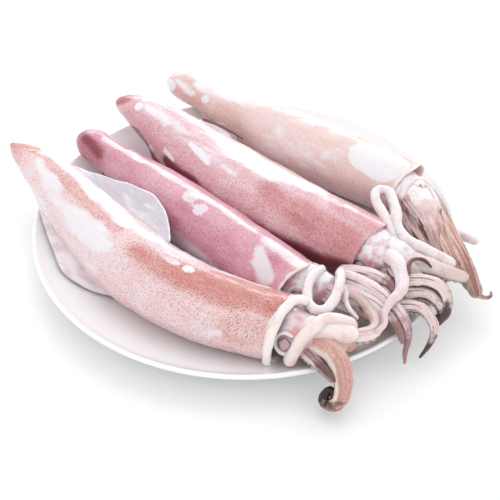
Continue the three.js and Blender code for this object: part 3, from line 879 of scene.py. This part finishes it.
third = dict(
    name="third", node="squid_third", slot="skin_third",
    spine=[(-137, 18, 36), (-114, 21, 36), (-60, 21, 27), (-10, 19, 27), (30, 20, 27), (77, 27, 27)],
    half_width=26, half_height=21, bluntness=0.08, fill=0.5,
    neck=(66, 25, 27), crown=(95, 28, 29), head_radius=17.5, eye_raise=0, neck_share=1.08,
    wall=1.4, rim=1.02, rim_swelling=0.1,
    rim_waves=((1, 20, 2.5, 0.0), (2, 70, 1.0, 0.02), (4, 60, 0.5, 0.01)),
    head_skin=pale_head,
    # Rose skin with a broad painted highlight band, painted glints, dark red along its lower side that is
    # partly painted shade, and a browner, flecked place near the opening.
    skin=mantle_skin("rose and brown squid skin", "#E8CAD2", "#E2B6BE", "#C47678", "#83404A", "#A2544E",
                     "#EEE9EE", 0.45),
    red=[
        (1.0, 4, [(0.0, 0, 6), (0.05, -20, 4)]),
        (0.5, 9, [(0.1, -70, 4), (0.3, -62, 5), (0.5, -60, 5), (0.7, -70, 6)]),
        (0.75, 17, [(0.68, -26, 0), (0.8, -38, 3), (0.89, -48, 6), (0.96, -56, 7)]),
        (0.3, 14, [(0.6, -20, 6), (0.9, -10, 8)]),
        (0.6, 9, [(0.88, 20, 5), (1.0, 10, 7)]),
    ],
    # The pale places, mostly painted: a broad highlight band along the top and small painted glints.
    pale_and_highlight=[
        (1.0, 9, [(0.12, 38, 1), (0.2, 52, 2), (0.36, 44, 3), (0.46, 22, 5), (0.6, 12, 6), (0.7, 20, 3),
         (0.8, 34, 0.5)]),
        (0.9, 1.5, [(0.115, -36, 2)]),
        (0.8, 3, [(0.155, -22, 1.5), (0.2, -24, 3), (0.23, -28, 1.5)]),
        (0.95, 1.2, [(0.235, -92, 2.2)]),
        (0.9, 2, [(0.36, -30, 0.8), (0.42, -34, 1.2), (0.47, -40, 0.8)]),
        (0.9, 1.2, [(0.3, -70, 0.8), (0.34, -72, 0.8)]),
        (0.6, 2, [(0.52, -30, 0.8), (0.57, -30, 0.8)]),
        (0.85, 1.2, [(0.84, 26, 0.8), (0.86, 26, 0.8)]),
        (0.85, 1.2, [(0.89, 24, 0.8), (0.92, 24, 0.8)]),
        (0.4, 12, [(0.16, -18, 2), (0.26, -14, 4), (0.4, -4, 6), (0.55, -20, 3)]),
    ],
    # The deep places: a dark tip and a browner place near the opening, and dark red along the lower side next
    # to the second squid, partly painted shade of the gap between them.
    deep_and_shade=[
        (0.5, 4, [(0.0, 0, 5), (0.045, -20, 3)]),
        (0.9, 4, [(0.11, -104, 1), (0.16, -104, 3), (0.24, -106, 3)]),
        (1.0, 5, [(0.32, -85, 2.5), (0.38, -86, 3.2), (0.47, -86, 4), (0.62, -96, 3)]),
        (1.0, 8, [(0.66, -94, 3), (0.8, -96, 5), (0.97, -100, 6)]),
        (0.34, 15, [(0.78, -40, 0), (0.87, -50, 3), (0.94, -62, 3)]),
    ],
)
back = dict(
    name="back", node="squid_back", slot="skin_back",
    spine=[(-132, 64, 34), (-108, 67, 31), (-70, 72, 28), (-30, 76, 26), (10, 81, 27), (56, 86, 28)],
    half_width=24, half_height=19, bluntness=0.48, fill=0.95,
    neck=(46, 84, 28), crown=(78, 77, 29), head_radius=15, eye_raise=0, neck_share=1.05,
    wall=1.6, rim=0.99, rim_swelling=0.2,
    rim_waves=((1, 0, 2.0, 0.0), (2, 40, 1.2, 0.02), (5, 60, 0.5, 0.01)),
    head_skin=pale_head,
    # Pale cream pink skin with a few stains, painted glints at the tip, a painted highlight line along its
    # top and a large round painted highlight by the opening.
    skin=mantle_skin("pale cream pink squid skin", "#E5CFD0", "#E6C9C2", "#DAA79C", "#A56A64", "#BC827A",
                     "#EAE6EB", 0.15),
    red=[
        (0.75, 9, [(0.06, -60, 3), (0.14, -56, 5)]),
        (0.4, 12, [(0.16, -40, 5), (0.34, -20, 5)]),
        (0.6, 7, [(0.25, -56, 2), (0.36, -60, 2)]),
        (0.8, 2, [(0.52, 5, 1)]),
        (0.8, 2, [(0.64, 2, 1)]),
        (0.5, 9, [(0.72, -70, 3), (0.9, -70, 4)]),
        (0.8, 4, [(0.94, 26, 2), (1.0, 10, 3)]),
    ],
    # The pale places, mostly painted highlights: glints at the tip, a line along the top and a large round
    # highlight by the opening.
    pale_and_highlight=[
        (0.7, 5, [(0.05, -40, 1), (0.12, -60, 1)]),
        (0.8, 10, [(0.15, 8, 3), (0.36, 8, 3)]),
        (0.9, 2.5, [(0.02, -75, 1.5), (0.04, -70, 2)]),
        (0.9, 2, [(0.185, -52, 1.6)]),
        (0.35, 16, [(0.55, -50, 6), (0.8, -50, 6)]),
        (0.7, 5, [(0.1, 34, 1), (0.5, 36, 2), (0.75, 32, 2)]),
        (1.15, 2.5, [(0.87, -12, 13), (0.92, -14, 13)]),
    ],
    deep_and_shade=[],
)

# Fins: grey white where they are bare, dark red where they are tucked between two mantles, a red that is
# partly painted shade of the gap. The colours are those of the root, the web and the edge.
grey_fin = fin_skin("half clear grey fin", "#F2E8ED", "#EFE6EC", "#CDB0AA", 0.97)
white_fin = fin_skin("half clear white fin", "#DCD0D8", "#CFC8D2", "#F2EDF0")
# Dark red skin, partly painted shade, for the fins tucked between two mantles.
shaded_maroon_fin = fin_skin("dark red fin skin", "#B8707A", "#A35A62", "#8A4048")
folded_fin = fin_skin("pale fin skin with a dark red edge", "#EADFE4", "#EADFE4", "#7C3440", 0.8)
pale_fin = fin_skin("pale pink fin skin", "#EDD6D6", "#E8CCCB", "#F4EEF0")

# Arms: the colours of the back, the sides, the side of the suckers with its painted shade, the tip and the
# dark lines, then how streaked the arm is, how dark its tip, where the tip starts and how speckled the back
# is.
peach_arm = arm_skin("peach arm skin", "#D0A398", "#EAD9D2", "#AC8880", "#2A1614", "#A06458", 0.28, 1.0,
    0.64, 0.8)
maroon_arm = arm_skin("maroon arm skin", "#A78484", "#DCCBC7", "#7C5654", "#4B2E2A", "#4E2A2A", 0.6, 0.6)
suckered_arm = arm_skin("cream suckered arm skin", "#E6CDC8", "#F3E5E2", "#C4A09A", "#B8938C", "#965E58",
    0.5, 0.3)
mauve_arm = arm_skin("mauve pink arm skin", "#E6CED2", "#F4EDEF", "#A97C80", "#86504C", "#86444F", 0.8, 0.8,
    0.62)
pink_arm = arm_skin("white pink arm skin", "#EDE0E5", "#F3E8EA", "#C79CA4", "#D6B6B8", "#B07484", 0.2, 0.4)
# Its maroon inside is partly painted shade within the hook.
hooked_arm = arm_skin("cream arm with maroon inside", "#E2CBC8", "#F1E6E4", "#74403E", "#3E1E1C", "#5E2C2A",
    0.9, 0.95, 0.74)
beige_arm = arm_skin("beige arm skin", "#E8D5D1", "#F4EAE7", "#8E5E58", "#C0A09A", "#8A5450", 0.3, 0.3)
striped_arm = arm_skin("brown pink striped arm skin", "#CFA19C", "#F4E9E7", "#8E5F58", "#86605A", "#70362F",
    1.0, 0.4)
# White at the crown of the back squid's sheaf, partly a painted highlight on its top.
pale_crown_and_highlight = arm_skin("white crown skin with streaks", "#F2EAED", "#F6F1F3", "#C79CA4", "#D2A59C", "#94554F",
    0.6, 0.5, 0.6)
dark_edge = arm_skin("dark maroon arm edge", "#7A4C48", "#8E605A", "#4A2A28", "#3A2220", "#3E2422", 0.6, 0.6)
tan_arm = arm_skin("tan arm skin with brown lines", "#BF8D7E", "#EFDDD6", "#6E463C", "#7E5A50", "#4E2822",
    1.0, 0.5, 0.72)

plate_piece()
for squid in (front, second, third, back):
    mantle_piece(squid)
    head_piece(squid)
    for side in (-1, 1):
        eye_pieces(squid, side, mauve_eye, ring_flesh)

# Each fin: its side, the shares of the mantle where it starts and ends, its reach in millimetres, where along
# it that is, the height of its edge, how far its root lies above the middle line, and its waves.
fin_piece(front, -1, 0.05, 0.57, 32, 0.74, None, 0, 0.8, grey_fin)
fin_piece(front, 1, 0.05, 0.62, 36, 0.68, 41, 8, 1, white_fin)
fin_piece(second, -1, 0.04, 0.5, 22, 0.6, 12, -6, 0.6, shaded_maroon_fin)
fin_piece(second, 1, 0.04, 0.5, 22, 0.6, 12, -6, 0.6, shaded_maroon_fin)
fin_piece(third, -1, 0.06, 0.55, 25, 0.6, 12, -6, 0.6, shaded_maroon_fin)
fin_piece(third, 1, 0.06, 0.46, 27, 0.7, 36, 7, 1, folded_fin)
fin_piece(back, -1, 0.08, 0.5, 20, 0.55, 14, -6, 0.6, pale_fin)
fin_piece(back, 1, 0.05, 0.5, 29, 0.5, 23, 0, 1, pale_fin)

# The limbs: each with its route, its radius at the root and at the tip, its skin, how late it tapers and
# whether it has suckers. The front squid's come first, with the rolled rim of its opening and the fleshy
# crown that its arms grow from.
front_limbs = [
    ("rolled_rim", [(88, -43, 41), (87, -45, 43), (85, -49, 44), (85, -56, 43.5), (86, -61, 43),
     (88, -67, 40), (89, -72, 36), (90, -75, 31), (90, -76, 25), (89, -75, 19), (88, -71, 14), (87, -66, 12)],
     3.2, 2.6, cream_flesh, 0.7),
    ("arm_crown", [(96, -52, 30), (106, -46, 32.5), (116, -38, 32)], 10, 6, band_flesh),
    ("hanging_arm", [(102, -53, 28), (112, -53, 29), (121, -54, 28), (129, -58, 22), (132, -62, 15),
     (131, -66, 10), (126, -68, 9), (124, -66, 12), (126, -63, 14), (129, -65, 13)],
     7.2, 2.1, peach_arm, 1.7, True),
    ("tentacle", [(99, -68, 21), (100, -66, 26), (101, -61, 33), (103, -54, 38.5), (104, -46, 39.5),
     (108, -40, 38), (113, -34, 34)], 4.2, 4.6, band_flesh, 1.0),
    ("dark_arm", [(97, -58, 24), (107, -60, 25), (117, -62, 25), (126, -63, 23)],
     4.8, 2.6, maroon_arm, 1.6, True),
    ("suckered_arm", [(108, -39, 28), (115, -35, 28), (120, -29, 28), (121, -22, 28), (117, -17, 29),
     (110, -15, 31), (103, -14, 33), (95, -17, 36)], 5, 2.8, suckered_arm, 1.8, True),
    ("folded_arm", [(105, -45, 26), (113, -44, 26), (118, -40, 27)], 4.8, 4.4, crown_flesh),
    ("stub", [(92, -56, 20), (96, -60, 14), (94, -63, 11)], 3, 1.8, bare_flesh),
]

# The second squid's limbs.
second_limbs = [
    ("looped_tentacle", [(74, -14, 38), (77, -26, 41), (82, -35, 40), (91, -42, 39), (98, -40, 39),
     (98, -33, 40), (93, -21, 41), (84, -9, 38)], 3.2, 3.3, bare_flesh),
    ("long_arm", [(84, -8, 34), (99, -5, 35), (114, -4, 33), (129, -7, 30), (134, -9, 24), (136, -13, 15),
     (137, -14, 7)], 5.2, 1, mauve_arm, 1.5, True),
    ("lower_arm", [(86, -13, 31), (103, -11, 32), (116, -10, 31), (128, -12, 28), (134, -14, 21)],
     4.8, 1.6, mauve_arm, 1.6, True),
    ("far_arm", [(80, -4, 32), (91, 4, 33), (106, 7, 33), (115, 4, 32)], 5, 2.8, mauve_arm, 1.6, True),
    ("thin_arm", [(88, -14, 36), (95, -18, 37), (99, -22, 35), (104, -25, 34), (110, -25, 31)],
     2.2, 1.2, bare_flesh),
]

# The third squid's limbs.
third_limbs = [
    ("arm_crown", [(88, 29, 30), (98, 30, 31), (108, 29, 30)], 13, 6, pale_head),
    ("curving_arm", [(82, 29, 27), (94, 23, 35), (105, 17, 38.5), (112, 11, 38), (118, 2, 38), (119, -7, 37),
     (121, -15, 36), (126, -21, 34), (125, -26, 32)], 7.4, 1.3, pink_arm, 1.0, True),
    ("looped_tentacle", [(90, 35, 38), (81, 38, 41), (69, 45, 42), (60, 50, 43), (56, 57, 43), (60, 61, 43),
     (67, 57, 42), (76, 49.5, 42), (83, 41.5, 41), (94, 37.5, 39), (107, 42, 35), (120, 46, 31)],
     3.3, 4.6, bare_flesh),
    ("broad_arm", [(90, 31, 32), (105, 32, 33), (119, 38, 31), (133, 46, 28)],
     6.4, 3.8, beige_arm, 1.6, True),
    ("folded_tip", [(114, 14, 40), (110, 19, 41.5), (109, 26, 41), (113, 30, 40), (117, 31, 37)],
     1.4, 0.8, dark_edge),
    # A dark line along the fold of the far fin, partly painted shade of the fold.
    ("fin_crease", [(-75, 38, 41), (-66, 40, 41), (-56, 41.5, 40.5), (-43, 42, 39.5)], 1.2, 0.4, dark_edge),
    ("first_hooked_arm", [(100, 18, 30), (109, 14, 32), (115, 18, 33), (121, 23, 33), (128, 25, 32),
     (134, 24, 28), (137, 20, 22), (136, 15, 18)], 5.4, 3.4, hooked_arm, 1.6, True),
    ("second_hooked_arm", [(100, 12, 28), (112, 0, 28), (118, 0, 28), (125, 5, 29), (131, 7, 29),
     (138, 6, 27), (142, 4, 22), (142, 0, 14), (140, -4, 6)], 5.4, 0.8, hooked_arm, 1.7, True),
    ("third_hooked_arm", [(100, 14, 27), (113, 10, 28), (121, 18, 28), (130, 20, 27), (136, 19, 22),
     (137, 15, 18)], 5, 2.8, hooked_arm, 1.6, True),
]

# The back squid's limbs.
back_limbs = [
    ("thin_tentacle", [(70, 96, 27), (64, 88, 38), (63, 77, 40), (66, 68, 37)], 2.8, 2.4, bare_flesh),
    # The white top of the sheaf, partly a painted highlight.
    ("crown_top", [(70, 79, 31), (78, 74, 33), (88, 68, 33)], 12.5, 10, pale_crown_and_highlight, 1.0),
    ("arm_crown", [(80, 74, 30), (90, 67, 31), (99, 60, 31), (108, 52, 29)], 12, 6.5, striped_arm),
    ("long_arm", [(79, 80, 32), (96, 70, 34), (109, 62, 33), (122, 55, 31), (132, 49, 28), (141, 43, 25)],
     6.4, 4.6, tan_arm, 1.4, True),
    ("inner_arm", [(81, 73, 33), (99, 61, 34), (114, 52, 32), (126, 47, 28), (135, 45, 24)],
     5.4, 3, tan_arm, 1.4, True),
    ("curled_tip", [(138, 46, 25), (142, 44, 24), (145, 45, 22), (147, 50, 21), (145, 53, 21)],
     1.8, 0.6, maroon_arm),
    ("stub_arm", [(80, 82, 27), (100, 76, 26), (114, 79, 25)], 3.8, 3.2, bare_flesh),
]

# The sheaves: each with its name, its aim, the turns of its arms in degrees, the radius of their ring at the
# crown, how far they spread, their radius at the root and at the tip, how far they rise, and their skin.
sheaves = [
    ("short_arm", (116, -42, 26), (0, 60, 120, 300), 6, 7, 4.6, 2.8, 0, suckered_arm),
    ("short_arm", (112, -10, 27), (30, 100, 170, 250), 5, 8, 4.6, 2.4, -1, mauve_arm),
    ("short_arm", (114, 26, 27), (0, 90, 180, 270), 7, 9, 5.4, 3.2, -1, beige_arm),
    ("outer_arm", (120, 48, 28), (20, 80, 140, 200, 260, 320), 10, 6, 5.2, 2.6, 2, striped_arm),
]

all_limbs = (front_limbs, second_limbs, third_limbs, back_limbs)
for squid, limbs, sheaf in zip((front, second, third, back), all_limbs, sheaves):
    for limb in limbs:
        limb_piece(squid, *limb)
    fan_pieces(squid, *sheaf)

bpy.data.objects.remove(SUCKER)

# The floor, the light and the camera.
bpy.ops.object.select_all(action="DESELECT")
bpy.ops.mesh.primitive_plane_add(size=8)
floor = bpy.context.object
floor.name = "floor"
floor_paint, add, give, where, place = new_material("matt white floor")
give({"Base Color": linear("#FAFAFA"), "Roughness": 0.8, "Specular IOR Level": 0.1})
floor.data.materials.append(floor_paint)

world = bpy.data.worlds.new("studio")
bpy.context.scene.world = world
world.use_nodes = True
world.node_tree.nodes["Background"].inputs["Color"].default_value = linear("#FFFFFF")
world.node_tree.nodes["Background"].inputs["Strength"].default_value = 1.0


def softbox(name, place, size, power, mirrored):
    """A wide soft light that faces the squid; the wet skin mirrors only the one that is mirrored."""
    light = bpy.data.lights.new(name, "AREA")
    light.shape = "RECTANGLE"
    light.size = size[0]
    light.size_y = size[1]
    light.energy = power
    lamp = linked(name, light)
    lamp.location = place
    lamp.rotation_euler = (Vector((0, 0, 0.02)) - Vector(place)).to_track_quat("-Z", "Y").to_euler()
    lamp.visible_glossy = mirrored


softbox("low window", (-0.75, 1.05, 0.4), (1.8, 0.2), 5, True)
softbox("high window", (-0.45, 0.6, 1.5), (1.4, 1.4), 6, False)

# The camera stands where the photograph's stood: 44 degrees round and 41.2 degrees up.
target = Vector((0.01953, -0.01605, 0.020))
azimuth = math.radians(44)
elevation = math.radians(41.238)
distance = 0.75
level = math.cos(elevation)
away = Vector((math.sin(azimuth) * level, -math.cos(azimuth) * level, math.sin(elevation)))
camera_data = bpy.data.cameras.new("camera")
camera_data.lens = 90.44
camera_data.sensor_width = 36
camera = linked("camera", camera_data)
camera.location = target + away * distance
camera.rotation_euler = (-away).to_track_quat("-Z", "Y").to_euler()
bpy.context.scene.camera = camera
bpy.context.scene.view_settings.view_transform = "Standard"
